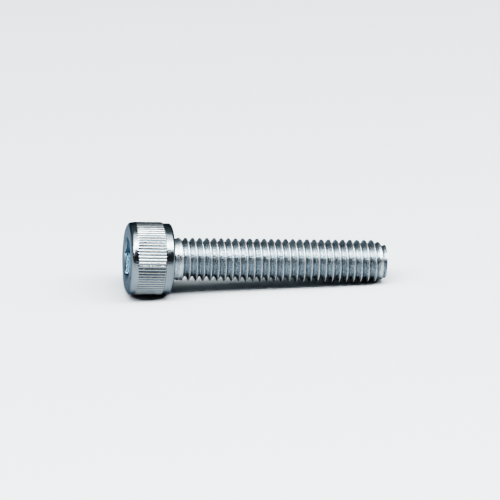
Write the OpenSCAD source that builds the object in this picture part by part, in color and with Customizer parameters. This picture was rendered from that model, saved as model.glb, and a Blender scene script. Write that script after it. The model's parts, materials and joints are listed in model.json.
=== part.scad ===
// Hex socket cap screw, M6 x 30, with a straight-knurled head and a thread along the whole shank.
// It lies on its side, as a loose screw comes to rest: the knurl and the last crest near the point
// touch the floor. Its own axis runs from the socket face to the point, with zero at the
// bearing face under the head, and its own X axis points at the floor.

/* [Head] */
// Height of the head, from the bearing face to the socket face
head_h = 6; // [5:0.1:9]
// Diameter over the crests of the knurl
knurl_d = 10.06; // [9.4:0.02:12]
// Radius of the rounded rim round the socket face
rim_r = 0.6; // [0.2:0.05:0.8]
// Width of the plain band between the socket face and the knurl, with its rim
front_band_w = 0.88; // [0.82:0.02:1.4]
// Depth of the front band below the crests of the knurl
front_band_drop = 0.05; // [0.02:0.01:0.15]
// Width of the plain band between the knurl and the bearing face, with its chamfer
rear_band_w = 1.2; // [0.6:0.05:1.8]
// Depth of the rear band below the crests of the knurl
rear_band_drop = 0.14; // [0.02:0.01:0.25]
// Chamfer round the bearing face
foot_chamfer = 0.25; // [0.1:0.05:0.5]

/* [Knurl] */
// Number of ridges round the head
knurl_count = 72; // [48:2:96]
// Depth of the V-shaped grooves, from a ridge's crest to the root
knurl_depth = 0.17; // [0.08:0.01:0.25]
// Width of a ridge's crest
knurl_crest_w = 0.14; // [0.05:0.01:0.2]

/* [Socket] */
// Width of the hexagon across its flats, which takes a 5 mm key
socket_af = 5.03; // [3:0.01:6]
// Depth of the hexagon below the socket face
socket_depth = 3.1; // [2:0.1:3.6]
// Depth of the cone that the punch leaves below the hexagon
socket_cone_h = 0.5; // [0.1:0.05:0.8]
// Reach of the lead-in chamfer past the corners of the hexagon
socket_lead = 0.12; // [0.02:0.01:0.3]
// Slope of the lead-in chamfer, from the socket face
socket_lead_angle = 30; // [20:1:60]
// Turn of the hexagon's corners from the screw's lowest line
socket_turn = 24; // [0:1:59]

/* [Shank] */
// Length of the shank, from the bearing face to the point
shank_len = 30; // [10:1:60]
// Smallest diameter of the neck, at the fillet, where the thread runs out under the head
neck_d = 5.6; // [5.2:0.02:5.9]
// Length of the neck, from the bearing face, over which it widens to the thread
neck_len = 1; // [0.6:0.05:2]
// Radius of the fillet between the neck and the bearing face
fillet_r = 0.4; // [0.2:0.05:0.5]
// Length of the chamfered point
point_len = 1.63; // [0.5:0.01:2.5]
// Diameter of the flat end of the point
point_d = 4.6; // [3.5:0.1:5]

/* [Thread] */
// Diameter over the crests of the thread
thread_d = 5.9; // [5.6:0.02:6.4]
// Distance from one crest to the next
pitch = 1; // [0.5:0.05:1.5]
// Angle between the two flanks of a groove
flank_angle = 60; // [50:1:70]
// Width of a crest
crest_w = 0.12; // [0.05:0.01:0.2]
// Width of the root between two flanks
root_w = 0.17; // [0.05:0.01:0.25]
// Place of the first crest on the screw's lowest line, from the bearing face
first_crest = 0.62; // [0.4:0.02:1.4]
// Length over which the grooves deepen to their roots, from the end of the neck
runout_len = 1; // [0.5:0.1:2]

/* [Hidden] */
$fn = 96;

knurl_r = knurl_d / 2;
front_r = knurl_r - front_band_drop;
rear_r = knurl_r - rear_band_drop;
neck_r = neck_d / 2;
thread_r = thread_d / 2;
point_r = point_d / 2;
flank_w = (pitch - crest_w - root_w) / 2;
thread_depth = flank_w / tan(flank_angle / 2);
root_r = thread_r - thread_depth;

// Places along the screw's own axis
face_z = -head_h;
knurl_start = face_z + front_band_w;
knurl_end = -rear_band_w;
point_start = shank_len - point_len;
point_slope = (thread_r - point_r) / point_len;

// Cores lie this far under the ridges and under the thread's roots
core_depth = 0.2;
core_r = knurl_r - max(knurl_depth, front_band_drop, rear_band_drop) - core_depth;
// How far a cutting tool reaches past the surface that it cuts
overcut = 0.5;

// Flat steps that stand for a quarter of a round edge
edge_steps = 4;

ridge_angle = 360 / knurl_count;
crest_half = asin(knurl_crest_w / 2 / knurl_r);
socket_corner_r = socket_af / 2 / cos(30);

// One turn of the thread has this many flat sides, one of them across the screw's lowest line
turn_sides = 18;
side_angle = 360 / turn_sides;
side_r = thread_r * cos(side_angle / 2);
// The section of one pitch, as places along the axis from the middle of a crest and radii
thread_section = [
    [-crest_w / 2, thread_r],
    [crest_w / 2, thread_r],
    [crest_w / 2 + flank_w, root_r],
    [pitch - crest_w / 2 - flank_w, root_r]
];
// The helix begins inside the head, and runs past the point
helix_start = first_crest - pitch * ceil((first_crest + overcut) / pitch);
turns = ceil((shank_len - helix_start) / pitch) + 1;
// The last full crest on the lowest line, up to the corner of its flat side that is nearest the point
full_turns = floor((point_start - crest_w / 2 - first_crest) / pitch);
last_crest = first_crest + full_turns * pitch + (crest_w + pitch / turn_sides) / 2;
// The crest after it, which the point's chamfer cuts down
cut_crest = first_crest + (full_turns + 1) * pitch - crest_w / 2;
cut_r = thread_r - (cut_crest - point_start) * point_slope;

// Edges that can touch the floor, as places along the axis and radii. Two ridges straddle the lowest
// line of the head, so the nearest edges of their crests are the head's lowest there.
head_edges = [
    [knurl_end, knurl_r * cos(ridge_angle / 2 - crest_half)],
    [-foot_chamfer, rear_r]
];
point_edges = [[last_crest, side_r], [cut_crest, min(side_r, cut_r)], [shank_len, point_r]];
lie_angle = max([for (h = head_edges) min([for (p = point_edges) atan((h[1] - p[1]) / (p[0] - h[0]))])]);
axis_h = max([for (p = point_edges) p[1] * cos(lie_angle) + p[0] * sin(lie_angle)]);

// Ends of the lying screw, measured along the floor from the middle of the bearing face
head_reach = head_h * cos(lie_angle) + (front_r - rim_r) * sin(lie_angle);
point_reach = shank_len * cos(lie_angle) + point_r * sin(lie_angle);

// A quarter of a round edge, as corners of a section
function round_edge(centre, r, start) = [
    for (i = [0 : edge_steps])
        let (angle = start - 90 * i / edge_steps)
        centre + r * [cos(angle), sin(angle)]
];

// Half of the head's section with the neck and the thread's run-out, with radius across and the
// screw's axis upwards. It ends in a core inside the thread.
module body_section() {
    core_end = neck_len + runout_len * (1 + core_depth / thread_depth);
    rim = round_edge([front_r - rim_r, face_z + rim_r], rim_r, 0);
    fillet = round_edge([neck_r + fillet_r, fillet_r], fillet_r, 270);
    polygon(concat(
        [[0, core_end], [0, face_z]],
        [for (i = [0 : edge_steps]) rim[edge_steps - i]],
        [
            [front_r, knurl_start],
            [core_r, knurl_start],
            [core_r, knurl_end],
            [rear_r, knurl_end],
            [rear_r, -foot_chamfer],
            [rear_r - foot_chamfer, 0]
        ],
        fillet,
        [[thread_r, neck_len], [root_r - core_depth, core_end]]
    ));
}

// One ridge of the knurl and the root of the groove after it, as corners of the outline
function ridge_corners(angle) = [
    [knurl_r, angle - crest_half],
    [knurl_r, angle + crest_half],
    [knurl_r - knurl_depth, angle + ridge_angle / 2]
];

function knurl_outline() = [
    for (i = [0 : knurl_count - 1])
        for (corner = ridge_corners((i + 0.5) * ridge_angle))
            corner[0] * [cos(corner[1]), sin(corner[1])]
];

// The ring of ridges between the two plain bands
module knurl() {
    translate([0, 0, knurl_start])
        linear_extrude(knurl_end - knurl_start) polygon(knurl_outline());
}

// A corner of the thread's section, carried round the axis by a number of flat sides
function helix_point(side, corner) =
    let (angle = (side + 0.5) * side_angle)
    [corner[1] * cos(angle), corner[1] * sin(angle), helix_start + corner[0] + pitch * angle / 360];

// A right-hand thread, whose section is joined from side to side and from turn to turn. A fan of
// triangles from the axis closes it at both ends.
module helix() {
    sides = turns * turn_sides;
    row = len(thread_section);
    root = row - 1;
    points = [for (i = [0 : sides]) for (corner = thread_section) helix_point(i, corner)];
    foot = len(points);
    tip = foot + 1;
    ends = [[0, 0, helix_start], [0, 0, helix_start + (turns + 1) * pitch]];
    bands = [
        for (i = [0 : sides - 1]) for (j = [0 : root - 1])
            [i * row + j, i * row + j + 1, (i + 1) * row + j + 1, (i + 1) * row + j]
    ];
    seams = [
        for (i = [0 : sides - turn_sides - 1])
            [i * row + root, (i + turn_sides) * row, (i + turn_sides + 1) * row, (i + 1) * row + root]
    ];
    foot_fan = concat(
        [for (i = [0 : turn_sides - 1]) [foot, i * row, (i + 1) * row]],
        [for (j = [0 : root - 1]) [foot, j + 1, j]],
        [[foot, turn_sides * row, root]]
    );
    tip_fan = concat(
        [for (i = [sides - turn_sides : sides - 1]) [tip, (i + 1) * row + root, i * row + root]],
        [for (j = [0 : root - 1]) [tip, sides * row + j, sides * row + j + 1]],
        [[tip, (sides - turn_sides) * row + root, sides * row]]
    );
    polyhedron(concat(points, ends), concat(bands, seams, foot_fan, tip_fan));
}

// The threaded stretch, cut to a cone at the neck and to the chamfer at the point
module thread() {
    trim_r = thread_r + overcut;
    intersection() {
        helix();
        rotate_extrude() polygon([
            [0, fillet_r],
            [neck_r - core_depth, fillet_r],
            [trim_r, neck_len + overcut],
            [trim_r, point_start - overcut / point_slope],
            [point_r, shank_len],
            [0, shank_len]
        ]);
    }
}

// The hexagon with its lead-in chamfer and the punch's cone, as a cutting shape
module socket_cut() {
    lead_r = socket_corner_r + socket_lead;
    translate([0, 0, face_z - overcut]) {
        rotate(socket_turn)
            cylinder(h = overcut + socket_depth, r = socket_corner_r, $fn = 6);
        cylinder(h = overcut + lead_r * tan(socket_lead_angle),
                 r1 = lead_r + overcut / tan(socket_lead_angle), r2 = 0);
    }
    translate([0, 0, face_z + socket_depth])
        cylinder(h = socket_cone_h, r1 = socket_af / 2, r2 = 0);
}

// Lays a screw that stands on its own axis down on the floor, with the middle of its length at zero
module lay_down() {
    translate([(head_reach - point_reach) / 2, 0, axis_h])
        rotate([0, 90 + lie_angle, 0])
            children();
}

module cap_screw() {
    color([0.66, 0.72, 0.76])
        lay_down()
            difference() {
                union() {
                    rotate_extrude() body_section();
                    knurl();
                    thread();
                }
                socket_cut();
            }
}

cap_screw();
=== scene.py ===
"""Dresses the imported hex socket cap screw, a zinc-plated M6 x 30 screw that lies on a pale floor.

Sizes in the classes are in millimetres on the screw's own axis, which runs from the socket face to
the point with zero at the bearing face. The finished mesh is in metres, where the frame has it.
"""
import json
import logging
import math
from dataclasses import dataclass
from enum import Enum
from typing import Any

import bmesh
import bpy
import numpy as np
from mathutils import Matrix, Vector


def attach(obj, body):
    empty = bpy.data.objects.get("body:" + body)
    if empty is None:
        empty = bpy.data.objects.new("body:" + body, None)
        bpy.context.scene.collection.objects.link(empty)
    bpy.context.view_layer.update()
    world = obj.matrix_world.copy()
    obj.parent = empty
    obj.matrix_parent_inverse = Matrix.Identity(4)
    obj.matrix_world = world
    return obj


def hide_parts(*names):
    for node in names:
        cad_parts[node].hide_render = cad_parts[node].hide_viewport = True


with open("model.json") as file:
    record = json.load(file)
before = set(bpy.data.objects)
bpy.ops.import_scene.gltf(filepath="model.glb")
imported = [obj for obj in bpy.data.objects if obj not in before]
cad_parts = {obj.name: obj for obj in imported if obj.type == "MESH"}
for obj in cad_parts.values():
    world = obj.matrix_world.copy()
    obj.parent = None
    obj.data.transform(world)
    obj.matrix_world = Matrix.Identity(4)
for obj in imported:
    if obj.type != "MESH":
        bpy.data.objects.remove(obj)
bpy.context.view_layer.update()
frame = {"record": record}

NODE = "cap_screw"
METRES_PER_MM = 0.001
# Points nearer to each other than this, in millimetres, are one point
WELD = 0.0004
# Nearly all values of a noise texture lie between these
NOISE_LOW, NOISE_HIGH = 0.3, 0.7
# Corners of the sections: how near a place is to the middle of a crest and how high it stands, both
# from 0 in the middle of a groove to 1. The knurl's ridges are rounded, and the thread has a narrow,
# nearly flat crest, straight flanks and a rounded root.
KNURL_SECTION = ((0.0, 0.0), (0.25, 0.15), (0.5, 0.52), (0.75, 0.88), (1.0, 1.0))
THREAD_SECTION = ((0.0, 0.0), (0.105, 0.03), (0.239, 0.16), (0.895, 0.98), (1.0, 1.0))

log = logging.getLogger("cap_screw")


class Mark(str, Enum):
    """Names of the mesh attributes that carry the screw's form to its finish."""

    FORMED = "formed"
    RELIEF = "relief"
    RECESS = "recess"
    ROLLED = "rolled"


def linear(hex_colour: str) -> tuple[float, float, float, float]:
    """Turns an sRGB colour into the linear one that a shader takes.

    Args:
        hex_colour: Six hexadecimal digits, as in "c8d2dc".

    Returns:
        Red, green and blue in linear light, with full alpha.
    """
    parts = [int(hex_colour[i:i + 2], 16) / 255 for i in (0, 2, 4)]
    red, green, blue = (p / 12.92 if p <= 0.04045 else ((p + 0.055) / 1.055) ** 2.4 for p in parts)
    return red, green, blue, 1.0


def add_node(tree: bpy.types.NodeTree, kind: str, links: dict[Any, Any] | None = None,
             **settings: Any) -> bpy.types.Node:
    """Adds a node with its settings and its inputs.

    Args:
        tree: The tree that the node goes into.
        kind: The node's type, as Blender names it.
        links: Inputs by name or number, each with a value or the output that feeds it.
        **settings: Properties of the node itself.

    Returns:
        The new node.
    """
    node = tree.nodes.new(kind)
    for name, value in settings.items():
        setattr(node, name, value)
    for socket, value in (links or {}).items():
        if isinstance(value, bpy.types.NodeSocket):
            tree.links.new(value, node.inputs[socket])
        else:
            node.inputs[socket].default_value = value
    return node


def shape_curve(node: bpy.types.Node, points: tuple[tuple[float, float], ...]) -> bpy.types.NodeSocket:
    """Draws a Float Curve with straight lines between these points.

    Args:
        node: The Float Curve node.
        points: Places on the curve from left to right, each from 0 to 1 both ways.

    Returns:
        The node's output.
    """
    curve = node.mapping.curves[0]
    while len(curve.points) < len(points):
        curve.points.new(0.5, 0.5)
    for point, place in zip(curve.points, points):
        point.location = place
        point.handle_type = "VECTOR"
    node.mapping.update()
    return node.outputs[0]


def new_tree(name: str, inputs: tuple[tuple[str, str], ...]) -> bpy.types.NodeTree:
    """Starts a Geometry Nodes tree with named inputs.

    Args:
        name: The tree's name.
        inputs: Name and socket type of each input.

    Returns:
        The tree, with its geometry output declared.
    """
    tree = bpy.data.node_groups.new(name, "GeometryNodeTree")
    tree.interface.new_socket("Geometry", in_out="OUTPUT", socket_type="NodeSocketGeometry")
    for label, kind in inputs:
        tree.interface.new_socket(label, in_out="INPUT", socket_type=kind)
    return tree


def bake(blank: bpy.types.Object, tree: bpy.types.NodeTree, sizes: dict[str, Any]) -> bpy.types.Mesh:
    """Runs a tree on an object once and keeps the result as a plain mesh.

    Args:
        blank: The object that the tree starts from, which is removed afterwards.
        tree: The tree.
        sizes: Values for the tree's inputs, by name.

    Returns:
        The resulting mesh.
    """
    modifier = blank.modifiers.new(tree.name, "NODES")
    modifier.node_group = tree
    for item in tree.interface.items_tree:
        if item.in_out == "INPUT" and item.name in sizes:
            modifier[item.identifier] = sizes[item.name]
    depsgraph = bpy.context.evaluated_depsgraph_get()
    shaped = blank.evaluated_get(depsgraph)
    mesh = bpy.data.meshes.new_from_object(shaped, preserve_all_data_layers=True, depsgraph=depsgraph)
    blank.modifiers.remove(modifier)
    bpy.data.objects.remove(blank)
    return mesh


def new_object(name: str, mesh: bpy.types.Mesh) -> bpy.types.Object:
    """Puts a mesh into the scene as an object at the origin.

    Args:
        name: The object's name.
        mesh: Its mesh.

    Returns:
        The object.
    """
    made = bpy.data.objects.new(name, mesh)
    bpy.context.scene.collection.objects.link(made)
    return made


@dataclass(frozen=True)
class ScrewAxis:
    """Where the screw's own axis lies in the frame, from the places that the record states."""

    head_height: float

    def placement(self) -> Matrix:
        """Works out the move from the screw's own millimetres to the frame's metres.

        Returns:
            A matrix that also scales. The own x axis points down and away from the socket face.
        """
        mounts = {m["name"]: m for m in frame["record"]["mounts"]}
        mouth = mounts["hex_socket"]
        along = -Vector(mouth["axis"])
        across = Vector((0.0, 1.0, 0.0))
        bearing_centre = Vector(mouth["pos_m"]) + along * self.head_height * METRES_PER_MM
        turned = Matrix((across.cross(along), across, along)).transposed().to_4x4()
        return Matrix.Translation(bearing_centre) @ turned @ Matrix.Scale(METRES_PER_MM, 4)


@dataclass(frozen=True)
class ZincPlate:
    """Bright zinc plating with a clear blue passivate on cold-formed steel.

    It gives the eye a hard, slightly bluish silver that mirrors the studio in long bands, warmer
    and duller on the rolled crests that rub in handling. Inside the socket a steel blue is painted,
    deepest low in the socket, as a painted reflection of the blue that its walls mirror into each other.
    The plating's own grain is too fine to show at this size, so it is drawn as coarse as grain_mm.
    """

    plain: str = "7d8488"
    crest: str = "949593"
    # Painted shade: the knurl's grooves are painted darker than its ridges
    painted_groove_shade: str = "5f6b74"
    rolled: str = "a5adb2"
    worn: str = "a49e97"
    # Painted reflection: steel blue painted in the socket, for the blue its walls mirror into each other
    socket: str = "6f8da0"
    edge: str = "8d979f"
    worn_from: float = 0.96
    roughness: float = 0.2
    rolled_roughness: float = 0.28
    worn_dulling: float = 0.2
    roughness_spread: float = 0.10
    grain_mm: float = 0.2
    blotch_mm: float = 2.2
    blotch_dark: float = 0.86
    blotch_pale: float = 1.06
    bump: float = 0.12
    rolled_bump: float = 0.3
    broached_bump: float = 0.9

    def material(self) -> bpy.types.Material:
        """Builds the shader.

        Returns:
            The material, on Object coordinates and the mesh's own attributes.
        """
        made = bpy.data.materials.new("zinc_plated_steel")
        made.use_nodes = True
        tree = made.node_tree
        tree.nodes.clear()
        place = add_node(tree, "ShaderNodeTexCoord").outputs["Object"]
        relief = add_node(tree, "ShaderNodeAttribute", attribute_name=Mark.RELIEF.value).outputs["Fac"]
        formed = add_node(tree, "ShaderNodeAttribute", attribute_name=Mark.FORMED.value).outputs["Fac"]
        recess = add_node(tree, "ShaderNodeAttribute", attribute_name=Mark.RECESS.value).outputs["Fac"]
        rolled = add_node(tree, "ShaderNodeAttribute", attribute_name=Mark.ROLLED.value).outputs["Fac"]
        blotch = add_node(tree, "ShaderNodeTexNoise",
                          {"Vector": place, "Scale": 1 / (self.blotch_mm * METRES_PER_MM), "Detail": 3.0})
        grain = add_node(tree, "ShaderNodeTexNoise",
                         {"Vector": place, "Scale": 1 / (self.grain_mm * METRES_PER_MM), "Detail": 4.0})
        # The knurl's ridges are paler where they rub, and its grooves are painted darker as painted shade
        knurl_wear_and_groove_shade = add_node(tree, "ShaderNodeMix", {"Factor": relief, 6: linear(self.painted_groove_shade),
                                                  7: linear(self.crest)}, data_type="RGBA")
        knurled = add_node(tree, "ShaderNodeMix", {"Factor": formed, 6: linear(self.plain),
                                                   7: knurl_wear_and_groove_shade.outputs[2]}, data_type="RGBA")
        on_crest = add_node(tree, "ShaderNodeMapRange", {"Value": relief, "From Min": self.worn_from})
        thread = add_node(tree, "ShaderNodeMix", {"Factor": on_crest.outputs["Result"],
                                                  6: linear(self.rolled), 7: linear(self.worn)},
                          data_type="RGBA")
        skin = add_node(tree, "ShaderNodeMix", {"Factor": rolled, 6: knurled.outputs[2],
                                                7: thread.outputs[2]}, data_type="RGBA")
        # Painted reflection: the socket is painted steel blue, strongest deep inside and fading toward the
        # mouth
        with_painted_socket_blue = add_node(tree, "ShaderNodeMix", {"Factor": recess, 6: skin.outputs[2],
                                                  7: linear(self.socket)}, data_type="RGBA")
        dulled = add_node(tree, "ShaderNodeMapRange",
                          {"Value": blotch.outputs["Fac"], "From Min": NOISE_LOW, "From Max": NOISE_HIGH,
                           "To Min": self.blotch_dark, "To Max": self.blotch_pale})
        colour = add_node(tree, "ShaderNodeMix", {"Factor": 1.0, 6: with_painted_socket_blue.outputs[2],
                                                  7: dulled.outputs["Result"]},
                          data_type="RGBA", blend_type="MULTIPLY")
        mean_rough = add_node(tree, "ShaderNodeMapRange",
                              {"Value": rolled, "To Min": self.roughness, "To Max": self.rolled_roughness})
        uneven = add_node(tree, "ShaderNodeMapRange",
                          {"Value": grain.outputs["Fac"], "From Min": NOISE_LOW, "From Max": NOISE_HIGH,
                           "To Min": -self.roughness_spread / 2, "To Max": self.roughness_spread / 2})
        on_thread = add_node(tree, "ShaderNodeMath", {0: on_crest.outputs["Result"], 1: rolled},
                             operation="MULTIPLY")
        worn_rough = add_node(tree, "ShaderNodeMath", {0: on_thread.outputs[0], 1: self.worn_dulling,
                                                       2: mean_rough.outputs["Result"]},
                              operation="MULTIPLY_ADD")
        rough = add_node(tree, "ShaderNodeMath", {0: worn_rough.outputs[0],
                                                  1: uneven.outputs["Result"]}, operation="ADD")
        skin_bump = add_node(tree, "ShaderNodeMapRange",
                             {"Value": rolled, "To Min": self.bump, "To Max": self.rolled_bump})
        bump_share = add_node(tree, "ShaderNodeMath",
                              {0: recess, 1: self.broached_bump, 2: skin_bump.outputs["Result"]},
                              operation="MULTIPLY_ADD")
        bump = add_node(tree, "ShaderNodeBump",
                        {"Height": grain.outputs["Fac"], "Strength": bump_share.outputs[0],
                         "Distance": self.grain_mm * METRES_PER_MM})
        shader = add_node(tree, "ShaderNodeBsdfPrincipled",
                          {"Base Color": colour.outputs[2], "Roughness": rough.outputs[0],
                           "Normal": bump.outputs["Normal"], "Metallic": 1.0,
                           "Specular Tint": linear(self.edge)})
        add_node(tree, "ShaderNodeOutputMaterial", {"Surface": shader.outputs["BSDF"]})
        return made


@dataclass(frozen=True)
class PaleFloor:
    """Matt card of a light grey, which gives the eye an even ground and one soft shadow."""

    colour: str = "a9adb0"
    roughness: float = 0.75

    def material(self) -> bpy.types.Material:
        """Builds the shader of the card.

        Returns:
            The material.
        """
        made = bpy.data.materials.new("light_grey_card")
        made.use_nodes = True
        tree = made.node_tree
        tree.nodes.clear()
        shader = add_node(tree, "ShaderNodeBsdfPrincipled",
                          {"Base Color": linear(self.colour), "Roughness": self.roughness,
                           "Specular IOR Level": 0.2})
        add_node(tree, "ShaderNodeOutputMaterial", {"Surface": shader.outputs["BSDF"]})
        return made


@dataclass(frozen=True)
class Ring:
    """One turn of points round the screw's axis.

    A radius or height may be one number or one for each column. The last two fields are the ring's
    share of the knurl's depth and its share of the steel blue painted in the socket as painted reflection.
    """

    radius: Any
    height: Any
    knurl: float = 0.0
    recess: float = 0.0


@dataclass
class KnurledHead:
    """The cold-headed cylinder with its rolled ridges, its punched hexagon and the fillet below it.

    The knurl's ends meet the plain bands in a short slope, end_slope long, with end_share of the
    grooves' depth. A hem is how far a ring lies from an edge that it keeps crisp. The tints are the
    shares of the painted socket blue, a painted reflection, up its wall, over its lead-in chamfer and on
    the face.
    """

    height: float = 6.0
    knurl_radius: float = 5.03
    rim_radius: float = 0.6
    front_band: float = 0.88
    front_drop: float = 0.05
    rear_band: float = 1.2
    rear_drop: float = 0.14
    foot_chamfer: float = 0.25
    ridges: int = 72
    ridge_depth: float = 0.085
    ridge_run: float = 0.16
    ridge_wobble: float = 0.05
    knurl_rows: int = 20
    unevenness_per_mm: float = 2.2
    rim_steps: int = 9
    flats: float = 5.03
    corner_cut: float = 0.03
    socket_turn: float = 24.0
    socket_depth: float = 3.1
    cone_height: float = 0.5
    lead: float = 0.12
    lead_angle: float = 30.0
    # Shares of the painted socket blue, a painted reflection, from the socket's floor up to its mouth
    wall_tints: tuple[tuple[float, float], ...] = ((0.02, 1.0), (0.3, 1.0), (0.6, 1.0), (0.85, 0.95),
                                                   (0.97, 0.8))
    lead_tints: tuple[float, float, float] = (0.5, 0.1, 0.05)
    face_tint: float = 0.12
    hem: float = 0.02
    floor_hem: float = 0.03
    end_slope: float = 0.03
    end_share: float = 0.35
    front_step: float = 0.02
    rear_step: float = 0.06
    foot_lead: float = 0.05
    foot_round: float = 0.03
    neck_radius: float = 2.78
    fillet: float = 0.4
    fillet_steps: int = 7
    columns: int = 576
    shank_columns: int = 144

    def hexagon(self, angles: np.ndarray) -> np.ndarray:
        """Gives the socket's radius at each angle, with its corners a little blunt.

        Args:
            angles: Angles round the screw's axis, in radians.

        Returns:
            The radius at each angle.
        """
        side = np.radians(60)
        from_flat = np.mod(angles - np.radians(self.socket_turn), side) - side / 2
        return np.minimum(self.flats / 2 / np.cos(from_flat), self.corner - self.corner_cut)

    @property
    def corner(self) -> float:
        """The radius over the hexagon's corners."""
        return self.flats / 2 / math.cos(math.radians(30))

    def socket_rings(self) -> list[Ring]:
        """Gives the rings from the punch's cone up to the edge of the lead-in chamfer.

        The hexagon's walls lose their painted blue, a painted reflection, over the last part of their
        height.

        Returns:
            The rings in order.
        """
        face = -self.height
        flat = self.flats / 2
        hexagon = self.hexagon(2 * np.pi * np.arange(self.columns) / self.columns)
        edge = self.corner + self.lead
        slope = math.tan(math.radians(self.lead_angle))
        floor = face + self.socket_depth
        chamfer_foot = face + (edge - hexagon) * slope
        rings = [
            Ring(0.0, floor + self.cone_height, recess=1.0),
            Ring(0.5 * flat, floor + self.cone_height / 2, recess=1.0),
            Ring(0.98 * flat, floor, recess=1.0),
            Ring(hexagon - self.floor_hem, floor, recess=1.0),
        ]
        for share, tint in self.wall_tints:
            rings.append(Ring(hexagon, floor + (chamfer_foot - floor) * share, recess=tint))
        foot_tint, low_tint, high_tint = self.lead_tints
        rings.append(Ring(hexagon, chamfer_foot, recess=foot_tint))
        rings.append(Ring(hexagon + self.hem, chamfer_foot - self.hem * slope, recess=low_tint))
        rings.append(Ring(edge - self.hem / 2, face + self.hem / 2 * slope, recess=high_tint))
        return rings

    def outside_rings(self) -> list[Ring]:
        """Gives the rings from the socket face over the rim and the knurl to the bearing face.

        A ring close to each edge keeps the edge crisp.

        Returns:
            The rings in order.
        """
        face = -self.height
        front = self.knurl_radius - self.front_drop
        rear = self.knurl_radius - self.rear_drop
        start = face + self.front_band
        end = -self.rear_band
        edge = self.corner + self.lead
        flat_edge = front - self.rim_radius
        rings = [Ring(radius, face, recess=self.face_tint)
                 for radius in (edge + self.hem, (edge + flat_edge) / 2, flat_edge)]
        for i in range(1, self.rim_steps + 1):
            turn = math.radians(90) * i / self.rim_steps
            rings.append(Ring(flat_edge + self.rim_radius * math.sin(turn),
                              face + self.rim_radius * (1 - math.cos(turn))))
        rings += [
            Ring(front, start - self.hem),
            Ring(self.knurl_radius - self.front_step, start + self.end_slope, knurl=self.end_share),
            Ring(self.knurl_radius, start + self.ridge_run, knurl=1.0),
        ]
        for i in range(1, self.knurl_rows):
            share = i / self.knurl_rows
            rings.append(Ring(self.knurl_radius, start + (end - start) * share, knurl=1.0))
        rings += [
            Ring(self.knurl_radius, end - self.ridge_run, knurl=1.0),
            Ring(self.knurl_radius - self.rear_step, end - self.end_slope, knurl=self.end_share),
            Ring(rear, end + self.hem),
            Ring(rear, -self.foot_chamfer - self.foot_lead),
            Ring(rear - self.foot_round / 2, -self.foot_chamfer + self.hem / 2),
            Ring(rear - self.foot_chamfer + self.foot_round, -self.foot_round),
            Ring(rear - self.foot_chamfer - self.foot_round, 0.0),
        ]
        return rings

    def fillet_rings(self) -> list[Ring]:
        """Gives the rings of the hollow fillet from the bearing face to the neck.

        Returns:
            The rings in order.
        """
        turns = [math.radians(90) * i / self.fillet_steps for i in range(self.fillet_steps + 1)]
        return [Ring(self.neck_radius + self.fillet * (1 - math.sin(t)), self.fillet * (1 - math.cos(t)))
                for t in turns]

    def blank(self) -> bpy.types.Object:
        """Builds the head before the knurl is rolled, open where the shank goes on.

        Returns:
            An object whose mesh carries each point's share of the knurl and of the recess.
        """
        fine = self.socket_rings() + self.outside_rings()
        coarse = self.fillet_rings()
        points, knurl, recess = [], [], []
        for rings, columns in ((fine, self.columns), (coarse, self.shank_columns)):
            angles = 2 * np.pi * np.arange(columns) / columns
            for ring in rings:
                radius = np.broadcast_to(ring.radius, columns)
                height = np.broadcast_to(ring.height, columns)
                points.append(np.stack([radius * np.cos(angles), radius * np.sin(angles), height], 1))
                knurl += [ring.knurl] * columns
                recess += [ring.recess] * columns
        first_coarse = len(fine) * self.columns
        faces = self.bands(0, len(fine), self.columns)
        faces += self.bands(first_coarse, len(coarse), self.shank_columns)
        faces += self.bearing_face(first_coarse - self.columns, first_coarse)
        mesh = bpy.data.meshes.new("head_blank")
        mesh.from_pydata(np.concatenate(points).tolist(), [], faces)
        marks = {Mark.FORMED: knurl, Mark.RECESS: recess, Mark.ROLLED: [0.0] * len(knurl)}
        for mark, values in marks.items():
            mesh.attributes.new(mark.value, "FLOAT", "POINT").data.foreach_set("value", values)
        return new_object("head_blank", mesh)

    def bearing_face(self, outer: int, inner: int) -> list[tuple[int, ...]]:
        """Lists the triangles between the head's last ring and the fillet's first, coarser one.

        Args:
            outer: Number of the outer ring's first point.
            inner: Number of the inner ring's first point.

        Returns:
            The triangles, each as three point numbers.
        """
        faces = []
        share = self.columns // self.shank_columns
        for i in range(self.columns):
            low, high = outer + i, outer + (i + 1) % self.columns
            near = i // share
            after = (near + 1) % self.shank_columns
            faces.append((low, high, inner + (after if i % share >= share // 2 else near)))
            if i % share == share // 2 - 1:
                faces.append((high, inner + after, inner + near))
        return faces

    @staticmethod
    def bands(first: int, rings: int, columns: int) -> list[tuple[int, ...]]:
        """Lists the four-sided faces between rings of equal columns.

        Args:
            first: Number of the first ring's first point.
            rings: How many rings there are.
            columns: How many points each ring has.

        Returns:
            The faces, each as four point numbers.
        """
        faces = []
        for row in range(rings - 1):
            low = first + row * columns
            for i in range(columns):
                after = (i + 1) % columns
                faces.append((low + i, low + after, low + columns + after, low + columns + i))
        return faces

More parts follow.
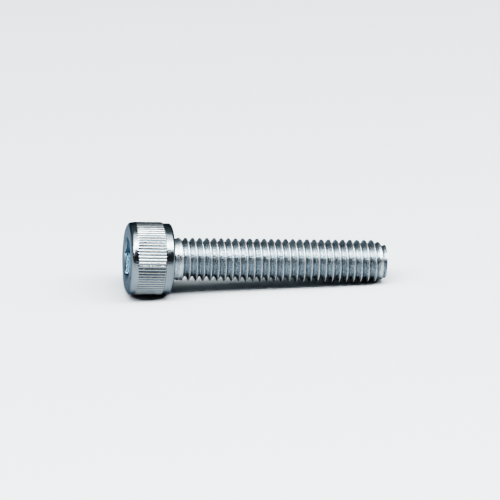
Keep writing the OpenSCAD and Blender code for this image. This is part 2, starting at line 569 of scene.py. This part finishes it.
    def knurl_tree(self) -> bpy.types.NodeTree:
        """Builds the tree that rolls the straight knurl into the head's blank.

        Returns:
            The tree. Its ridges stand half a ridge either side of the head's lowest line.
        """
        tree = new_tree("straight_knurl", (
            ("Geometry", "NodeSocketGeometry"), ("Ridges", "NodeSocketInt"), ("Depth", "NodeSocketFloat"),
            ("Wobble", "NodeSocketFloat"), ("Unevenness", "NodeSocketFloat"),
            ("Finish", "NodeSocketMaterial")))
        given = add_node(tree, "NodeGroupInput").outputs
        place = add_node(tree, "GeometryNodeInputPosition").outputs[0]
        split = add_node(tree, "ShaderNodeSeparateXYZ", {0: place}).outputs
        share = add_node(tree, "GeometryNodeInputNamedAttribute", {"Name": Mark.FORMED.value},
                         data_type="FLOAT").outputs["Attribute"]
        turn = add_node(tree, "ShaderNodeMath", {0: split["Y"], 1: split["X"]}, operation="ARCTAN2")
        ridge_turns = add_node(tree, "ShaderNodeMath", {0: given["Ridges"], 1: 2 * math.pi},
                               operation="DIVIDE")
        ridge = add_node(tree, "ShaderNodeMath", {0: turn.outputs[0], 1: ridge_turns.outputs[0], 2: 0.5},
                         operation="MULTIPLY_ADD")
        within = add_node(tree, "ShaderNodeMath", {0: ridge.outputs[0]}, operation="FRACT")
        centred = add_node(tree, "ShaderNodeMath", {0: within.outputs[0], 1: 2.0, 2: -1.0},
                           operation="MULTIPLY_ADD")
        nearness = add_node(tree, "ShaderNodeMath", {0: centred.outputs[0]}, operation="ABSOLUTE")
        height = shape_curve(
            add_node(tree, "ShaderNodeFloatCurve", {"Value": nearness.outputs[0]}),
            KNURL_SECTION)
        noise = add_node(tree, "ShaderNodeTexNoise", {"Vector": place, "Scale": given["Unevenness"],
                                                      "Detail": 3.0})
        shift = add_node(tree, "ShaderNodeMath", {0: noise.outputs["Fac"], 1: -0.5}, operation="ADD")
        uneven = add_node(tree, "ShaderNodeMath", {0: shift.outputs[0], 1: given["Wobble"]},
                          operation="MULTIPLY")
        fall = add_node(tree, "ShaderNodeMath", {0: 1.0, 1: height}, operation="SUBTRACT")
        groove = add_node(tree, "ShaderNodeMath", {0: fall.outputs[0], 1: given["Depth"],
                                                   2: uneven.outputs[0]}, operation="MULTIPLY_ADD")
        deep = add_node(tree, "ShaderNodeMath", {0: groove.outputs[0], 1: 0.0}, operation="MAXIMUM")
        cut = add_node(tree, "ShaderNodeMath", {0: deep.outputs[0], 1: share}, operation="MULTIPLY")
        flat = add_node(tree, "ShaderNodeCombineXYZ", {"X": split["X"], "Y": split["Y"]})
        outward = add_node(tree, "ShaderNodeVectorMath", {0: flat.outputs[0]}, operation="NORMALIZE")
        back = add_node(tree, "ShaderNodeMath", {0: cut.outputs[0], 1: -1.0}, operation="MULTIPLY")
        offset = add_node(tree, "ShaderNodeVectorMath", {0: outward.outputs[0], "Scale": back.outputs[0]},
                          operation="SCALE")
        # The ridge height goes to the finish, which paints the grooves darker as painted shade and the
        # crests paler as wear
        kept = add_node(tree, "GeometryNodeStoreNamedAttribute",
                        {"Geometry": given["Geometry"], "Name": Mark.RELIEF.value, "Value": height},
                        data_type="FLOAT", domain="POINT")
        moved = add_node(tree, "GeometryNodeSetPosition",
                         {"Geometry": kept.outputs[0], "Offset": offset.outputs[0]})
        real = add_node(tree, "GeometryNodeRealizeInstances", {0: moved.outputs[0]})
        dressed = add_node(tree, "GeometryNodeSetMaterial", {"Geometry": real.outputs[0],
                                                             "Material": given["Finish"]})
        add_node(tree, "NodeGroupOutput", {"Geometry": dressed.outputs[0]})
        return tree

    def build(self, finish: bpy.types.Material) -> bpy.types.Mesh:
        """Builds the finished head.

        Args:
            finish: The screw's material.

        Returns:
            A mesh in the screw's own millimetres, open at the neck.
        """
        sizes = {"Ridges": self.ridges, "Depth": self.ridge_depth, "Wobble": self.ridge_wobble,
                 "Unevenness": self.unevenness_per_mm, "Finish": finish}
        return bake(self.blank(), self.knurl_tree(), sizes)


@dataclass
class RolledShank:
    """The shank with its right-hand thread, which runs out under the head and ends in a blunt point.

    The thread leaves a groove across the point's chamfer, up to point_groove deep, which fades over
    the last end_edge of the length. The rows are gathered by the share row_gather.
    """

    length: float = 30.0
    pitch: float = 1.0
    crest_radius: float = 2.95
    thread_depth: float = 0.613
    first_crest: float = 0.62
    start: float = 0.4
    neck_radius: float = 2.78
    neck_end: float = 1.3
    runout_start: float = 0.9
    runout_end: float = 1.9
    point_length: float = 1.63
    point_radius: float = 2.3
    point_groove: float = 0.3
    end_edge: float = 0.2
    columns: int = 144
    rows_per_turn: int = 14
    row_gather: float = 0.3

    def thread_tree(self) -> bpy.types.NodeTree:
        """Builds the tree that winds a sheet of rows round the axis into the thread.

        Its rows follow the helix, so that each crest and each root is one smooth line, and they are
        gathered at the crests and the roots. Past both ends of the shank the rows fall together and
        are welded.

        Returns:
            The tree.
        """
        lengths = ("Pitch", "Crest Radius", "Depth", "First Crest", "Start", "Length", "Neck Radius",
                   "Neck End", "Runout Start", "Runout End", "Point Length", "Point Radius",
                   "Point Groove", "End Edge")
        inputs = tuple((label, "NodeSocketFloat") for label in lengths)
        inputs += (("Columns", "NodeSocketInt"), ("Rows Per Turn", "NodeSocketInt"),
                   ("Finish", "NodeSocketMaterial"))
        tree = new_tree("rolled_thread", inputs)
        given = add_node(tree, "NodeGroupInput").outputs
        below = add_node(tree, "ShaderNodeMath", {0: given["Pitch"], 1: -2.0, 2: given["First Crest"]},
                         operation="MULTIPLY_ADD")
        span = add_node(tree, "ShaderNodeMath", {0: given["Length"], 1: below.outputs[0]},
                        operation="SUBTRACT")
        span_turns = add_node(tree, "ShaderNodeMath", {0: span.outputs[0], 1: given["Pitch"]},
                              operation="DIVIDE")
        turns = add_node(tree, "ShaderNodeMath", {0: span_turns.outputs[0]}, operation="CEIL")
        rows = add_node(tree, "ShaderNodeMath", {0: turns.outputs[0], 1: given["Rows Per Turn"], 2: 1.0},
                        operation="MULTIPLY_ADD")
        columns = add_node(tree, "ShaderNodeMath", {0: given["Columns"], 1: 1.0}, operation="ADD")
        sheet = add_node(tree, "GeometryNodeMeshGrid",
                         {"Size X": 1.0, "Size Y": turns.outputs[0], "Vertices X": columns.outputs[0],
                          "Vertices Y": rows.outputs[0]})
        place = add_node(tree, "GeometryNodeInputPosition").outputs[0]
        split = add_node(tree, "ShaderNodeSeparateXYZ", {0: place}).outputs
        around = add_node(tree, "ShaderNodeMath", {0: split["X"], 1: 0.5}, operation="ADD")
        even = add_node(tree, "ShaderNodeMath", {0: turns.outputs[0], 1: 0.5, 2: split["Y"]},
                        operation="MULTIPLY_ADD")
        doubled = add_node(tree, "ShaderNodeMath", {0: even.outputs[0], 1: 4 * math.pi},
                           operation="MULTIPLY")
        wave = add_node(tree, "ShaderNodeMath", {0: doubled.outputs[0]}, operation="SINE")
        gathered = add_node(tree, "ShaderNodeMath",
                            {0: wave.outputs[0], 1: -self.row_gather / (4 * math.pi), 2: even.outputs[0]},
                            operation="MULTIPLY_ADD")
        wound = add_node(tree, "ShaderNodeMath", {0: gathered.outputs[0], 1: around.outputs[0]},
                         operation="ADD")
        rise = add_node(tree, "ShaderNodeMath", {0: wound.outputs[0], 1: given["Pitch"],
                                                 2: below.outputs[0]}, operation="MULTIPLY_ADD")
        along = add_node(tree, "ShaderNodeClamp", {"Value": rise.outputs[0], "Min": given["Start"],
                                                   "Max": given["Length"]}).outputs[0]
        within = add_node(tree, "ShaderNodeMath", {0: gathered.outputs[0]}, operation="FRACT")
        centred = add_node(tree, "ShaderNodeMath", {0: within.outputs[0], 1: 2.0, 2: -1.0},
                           operation="MULTIPLY_ADD")
        nearness = add_node(tree, "ShaderNodeMath", {0: centred.outputs[0]}, operation="ABSOLUTE")
        height = shape_curve(
            add_node(tree, "ShaderNodeFloatCurve", {"Value": nearness.outputs[0]}),
            THREAD_SECTION)
        fade = add_node(tree, "ShaderNodeMapRange",
                        {"Value": along, "From Min": given["Runout Start"],
                         "From Max": given["Runout End"]},
                        interpolation_type="SMOOTHSTEP")
        fall = add_node(tree, "ShaderNodeMath", {0: 1.0, 1: height}, operation="SUBTRACT")
        groove = add_node(tree, "ShaderNodeMath", {0: fall.outputs[0], 1: fade.outputs[0]},
                          operation="MULTIPLY")
        cut = add_node(tree, "ShaderNodeMath", {0: groove.outputs[0], 1: given["Depth"]},
                       operation="MULTIPLY")
        threaded = add_node(tree, "ShaderNodeMath", {0: given["Crest Radius"], 1: cut.outputs[0]},
                            operation="SUBTRACT")
        neck = add_node(tree, "ShaderNodeMapRange",
                        {"Value": along, "From Min": given["Start"], "From Max": given["Neck End"],
                         "To Min": given["Neck Radius"], "To Max": given["Crest Radius"]},
                        interpolation_type="SMOOTHSTEP")
        point_start = add_node(tree, "ShaderNodeMath", {0: given["Length"], 1: given["Point Length"]},
                               operation="SUBTRACT")
        point = add_node(tree, "ShaderNodeMapRange",
                         {"Value": along, "From Min": point_start.outputs[0], "From Max": given["Length"],
                          "To Min": given["Crest Radius"], "To Max": given["Point Radius"]})
        end_start = add_node(tree, "ShaderNodeMath", {0: given["Length"], 1: given["End Edge"]},
                             operation="SUBTRACT")
        mark_fade = add_node(tree, "ShaderNodeMapRange",
                             {"Value": along, "From Min": end_start.outputs[0], "From Max": given["Length"],
                              "To Min": given["Point Groove"], "To Max": 0.0})
        mark = add_node(tree, "ShaderNodeMath", {0: groove.outputs[0], 1: mark_fade.outputs["Result"]},
                        operation="MULTIPLY")
        marked = add_node(tree, "ShaderNodeMath", {0: point.outputs["Result"], 1: mark.outputs[0]},
                          operation="SUBTRACT")
        necked = add_node(tree, "ShaderNodeMath", {0: threaded.outputs[0], 1: neck.outputs["Result"]},
                          operation="MINIMUM")
        radius = add_node(tree, "ShaderNodeMath", {0: necked.outputs[0], 1: marked.outputs[0]},
                          operation="MINIMUM")
        angle = add_node(tree, "ShaderNodeMath", {0: around.outputs[0], 1: 2 * math.pi},
                         operation="MULTIPLY")
        cosine = add_node(tree, "ShaderNodeMath", {0: angle.outputs[0]}, operation="COSINE")
        sine = add_node(tree, "ShaderNodeMath", {0: angle.outputs[0]}, operation="SINE")
        x = add_node(tree, "ShaderNodeMath", {0: radius.outputs[0], 1: cosine.outputs[0]},
                     operation="MULTIPLY")
        y = add_node(tree, "ShaderNodeMath", {0: radius.outputs[0], 1: sine.outputs[0]},
                     operation="MULTIPLY")
        round_place = add_node(tree, "ShaderNodeCombineXYZ", {"X": x.outputs[0], "Y": y.outputs[0],
                                                              "Z": along})
        with_relief = add_node(tree, "GeometryNodeStoreNamedAttribute",
                               {"Geometry": sheet.outputs["Mesh"], "Name": Mark.RELIEF.value,
                                "Value": height}, data_type="FLOAT", domain="POINT")
        with_formed = add_node(tree, "GeometryNodeStoreNamedAttribute",
                               {"Geometry": with_relief.outputs[0], "Name": Mark.FORMED.value,
                                "Value": fade.outputs[0]}, data_type="FLOAT", domain="POINT")
        with_rolled = add_node(tree, "GeometryNodeStoreNamedAttribute",
                               {"Geometry": with_formed.outputs[0], "Name": Mark.ROLLED.value,
                                "Value": 1.0}, data_type="FLOAT", domain="POINT")
        wound_sheet = add_node(tree, "GeometryNodeSetPosition",
                               {"Geometry": with_rolled.outputs[0], "Position": round_place.outputs[0]})
        end = add_node(tree, "GeometryNodeMeshCircle",
                       {"Vertices": given["Columns"], "Radius": given["Point Radius"]},
                       fill_type="TRIANGLE_FAN")
        end_place = add_node(tree, "ShaderNodeCombineXYZ", {"Z": given["Length"]})
        end_set = add_node(tree, "GeometryNodeTransform", {"Geometry": end.outputs["Mesh"],
                                                           "Translation": end_place.outputs[0]})
        joined = add_node(tree, "GeometryNodeJoinGeometry", {0: wound_sheet.outputs[0]})
        tree.links.new(end_set.outputs[0], joined.inputs[0])
        welded = add_node(tree, "GeometryNodeMergeByDistance", {"Geometry": joined.outputs[0],
                                                                "Distance": WELD})
        real = add_node(tree, "GeometryNodeRealizeInstances", {0: welded.outputs[0]})
        dressed = add_node(tree, "GeometryNodeSetMaterial", {"Geometry": real.outputs[0],
                                                             "Material": given["Finish"]})
        add_node(tree, "NodeGroupOutput", {"Geometry": dressed.outputs[0]})
        return tree

    def build(self, finish: bpy.types.Material) -> bpy.types.Mesh:
        """Builds the finished shank.

        Args:
            finish: The screw's material.

        Returns:
            A mesh in the screw's own millimetres, open at the neck.
        """
        sizes = {
            "Pitch": self.pitch, "Crest Radius": self.crest_radius, "Depth": self.thread_depth,
            "First Crest": self.first_crest, "Start": self.start, "Length": self.length,
            "Neck Radius": self.neck_radius, "Neck End": self.neck_end,
            "Runout Start": self.runout_start, "Runout End": self.runout_end,
            "Point Length": self.point_length, "Point Radius": self.point_radius,
            "Point Groove": self.point_groove, "End Edge": self.end_edge,
            "Columns": self.columns, "Rows Per Turn": self.rows_per_turn, "Finish": finish,
        }
        blank = new_object("shank_blank", bpy.data.meshes.new("shank_blank"))
        return bake(blank, self.thread_tree(), sizes)


@dataclass
class CapScrew:
    """The whole screw, welded from its head and its shank into one closed skin."""

    head: KnurledHead
    shank: RolledShank
    sharp_angle: float = 38.0

    def build(self, finish: bpy.types.Material) -> bpy.types.Object:
        """Builds the screw and lays it where the frame has it.

        Args:
            finish: The screw's material.

        Returns:
            The piece, at the origin with its place in its mesh.
        """
        parts = [self.head.build(finish), self.shank.build(finish)]
        joined = bmesh.new()
        for part in parts:
            joined.from_mesh(part)
        bmesh.ops.remove_doubles(joined, verts=joined.verts, dist=WELD)
        bmesh.ops.dissolve_degenerate(joined, edges=joined.edges, dist=WELD / 4)
        bmesh.ops.triangulate(joined, faces=[f for f in joined.faces if len(f.verts) > 4])
        bmesh.ops.recalc_face_normals(joined, faces=joined.faces)
        open_edges = sum(1 for e in joined.edges if len(e.link_faces) != 2)
        mesh = bpy.data.meshes.new("screw_skin")
        joined.to_mesh(mesh)
        joined.free()
        mesh.transform(ScrewAxis(self.head.height).placement())
        mesh.shade_smooth()
        mesh.set_sharp_from_angle(angle=math.radians(self.sharp_angle))
        mesh.materials.clear()
        mesh.materials.append(finish)
        triangles = sum(len(p.vertices) - 2 for p in mesh.polygons)
        log.info("screw skin: %d triangles, %d open edges", triangles, open_edges)
        return new_object("screw_skin", mesh)


@dataclass
class Studio:
    """The pale floor, the overhead soft light, the dim room and the camera.

    Places are in metres, and the lens and the sensor in millimetres. The room is given by its
    colours at shares of the half turn over the screw, from the camera's horizon to the far one.
    """

    floor_size: float = 6.0
    key_radiance: float = 17.0
    middle_radiance: float = 3.0
    fill_radiance: float = 2.2
    box_height: float = 0.5
    key_front: float = -0.37
    key_back: float = -0.134
    middle_back: float = 0.0
    fill_back: float = 0.134
    box_width: float = 1.8
    azimuth: float = -9.0
    elevation: float = 20.7
    distance: float = 0.6878
    aim_x: float = -0.00079
    aim_z: float = 0.00557
    lens: float = 360.0
    sensor: float = 36.0
    near: float = 0.01
    far: float = 20.0
    room: tuple[tuple[float, str], ...] = ((0.02, "dfe4e6"), (0.05, "241d1e"), (0.2, "2a2425"),
                                           (0.6, "8c9597"), (1.0, "70787a"))

    def lay_floor(self) -> bpy.types.Object:
        """Lays the card that the screw lies on.

        Returns:
            The floor.
        """
        half = self.floor_size / 2
        mesh = bpy.data.meshes.new("floor")
        mesh.from_pydata([(-half, -half, 0), (half, -half, 0), (half, half, 0), (-half, half, 0)],
                         [], [(0, 1, 2, 3)])
        mesh.materials.append(PaleFloor().material())
        floor = new_object("floor", mesh)
        return floor

    def hang_box(self, name: str, front: float, back: float, radiance: float) -> bpy.types.Object:
        """Hangs one softbox level above the screw.

        Args:
            name: The lamp's name.
            front: Its edge on the camera's side, along Y.
            back: Its edge behind the screw, along Y.
            radiance: Brightness of its face, where the floor below it is near 1.

        Returns:
            The lamp.
        """
        data = bpy.data.lights.new(name, "AREA")
        data.shape = "RECTANGLE"
        data.size = self.box_width
        data.size_y = back - front
        data.energy = radiance * math.pi * data.size * data.size_y
        lamp = bpy.data.objects.new(name, data)
        lamp.location = (0.0, (front + back) / 2, self.box_height)
        bpy.context.scene.collection.objects.link(lamp)
        return lamp

    def set_room(self) -> None:
        """Makes the room by the angle over the screw, from the camera's horizon to the far one.

        The card's end is pale, the room behind the camera is nearly black, and the ceiling and the
        wall on the far side are a dim blue-grey.
        """
        world = bpy.data.worlds.new("dim_room")
        world.use_nodes = True
        tree = world.node_tree
        tree.nodes.clear()
        toward = add_node(tree, "ShaderNodeTexCoord").outputs["Generated"]
        split = add_node(tree, "ShaderNodeSeparateXYZ", {0: toward}).outputs
        near = add_node(tree, "ShaderNodeMath", {0: split["Y"], 1: -1.0}, operation="MULTIPLY")
        over = add_node(tree, "ShaderNodeMath", {0: split["Z"], 1: near.outputs[0]}, operation="ARCTAN2")
        share = add_node(tree, "ShaderNodeMath", {0: over.outputs[0], 1: math.pi}, operation="DIVIDE")
        ramp = add_node(tree, "ShaderNodeValToRGB", {"Fac": share.outputs[0]})
        stops = ramp.color_ramp.elements
        first, *between, last = self.room
        for stop, (place, colour) in zip(stops, (first, last)):
            stop.position, stop.color = place, linear(colour)
        for place, colour in between:
            stops.new(place).color = linear(colour)
        back = add_node(tree, "ShaderNodeBackground", {"Color": ramp.outputs["Color"], "Strength": 1.0})
        add_node(tree, "ShaderNodeOutputWorld", {"Surface": back.outputs[0]})
        bpy.context.scene.world = world

    def set_camera(self) -> bpy.types.Object:
        """Sets up the camera at the photograph's viewing angle.

        Returns:
            The camera.
        """
        data = bpy.data.cameras.new("camera")
        data.lens, data.sensor_width = self.lens, self.sensor
        data.clip_start, data.clip_end = self.near, self.far
        camera = bpy.data.objects.new("camera", data)
        turn, lift = math.radians(self.azimuth), math.radians(self.elevation)
        back = Vector((math.sin(turn) * math.cos(lift), -math.cos(turn) * math.cos(lift), math.sin(lift)))
        camera.location = Vector((self.aim_x, 0.0, self.aim_z)) + back * self.distance
        camera.rotation_mode = "QUATERNION"
        camera.rotation_quaternion = (-back).to_track_quat("-Z", "Y")
        bpy.context.scene.collection.objects.link(camera)
        bpy.context.scene.camera = camera
        return camera

    def build(self) -> None:
        """Sets up everything round the screw."""
        self.lay_floor()
        self.hang_box("key_softbox", self.key_front, self.key_back, self.key_radiance)
        self.hang_box("middle_softbox", self.key_back, self.middle_back, self.middle_radiance)
        self.hang_box("fill_softbox", self.middle_back, self.fill_back, self.fill_radiance)
        self.set_room()
        self.set_camera()
        # A steep tone curve with soft highlights, as in the photograph
        bpy.context.scene.view_settings.view_transform = "Filmic"
        bpy.context.scene.view_settings.look = "Very High Contrast"


def main() -> None:
    logging.basicConfig(level=logging.INFO, format="%(name)s: %(message)s")
    screw = CapScrew(KnurledHead(), RolledShank()).build(ZincPlate().material())
    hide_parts(NODE)
    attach(screw, "root")
    Studio().build()


if __name__ == "__main__":
    main()
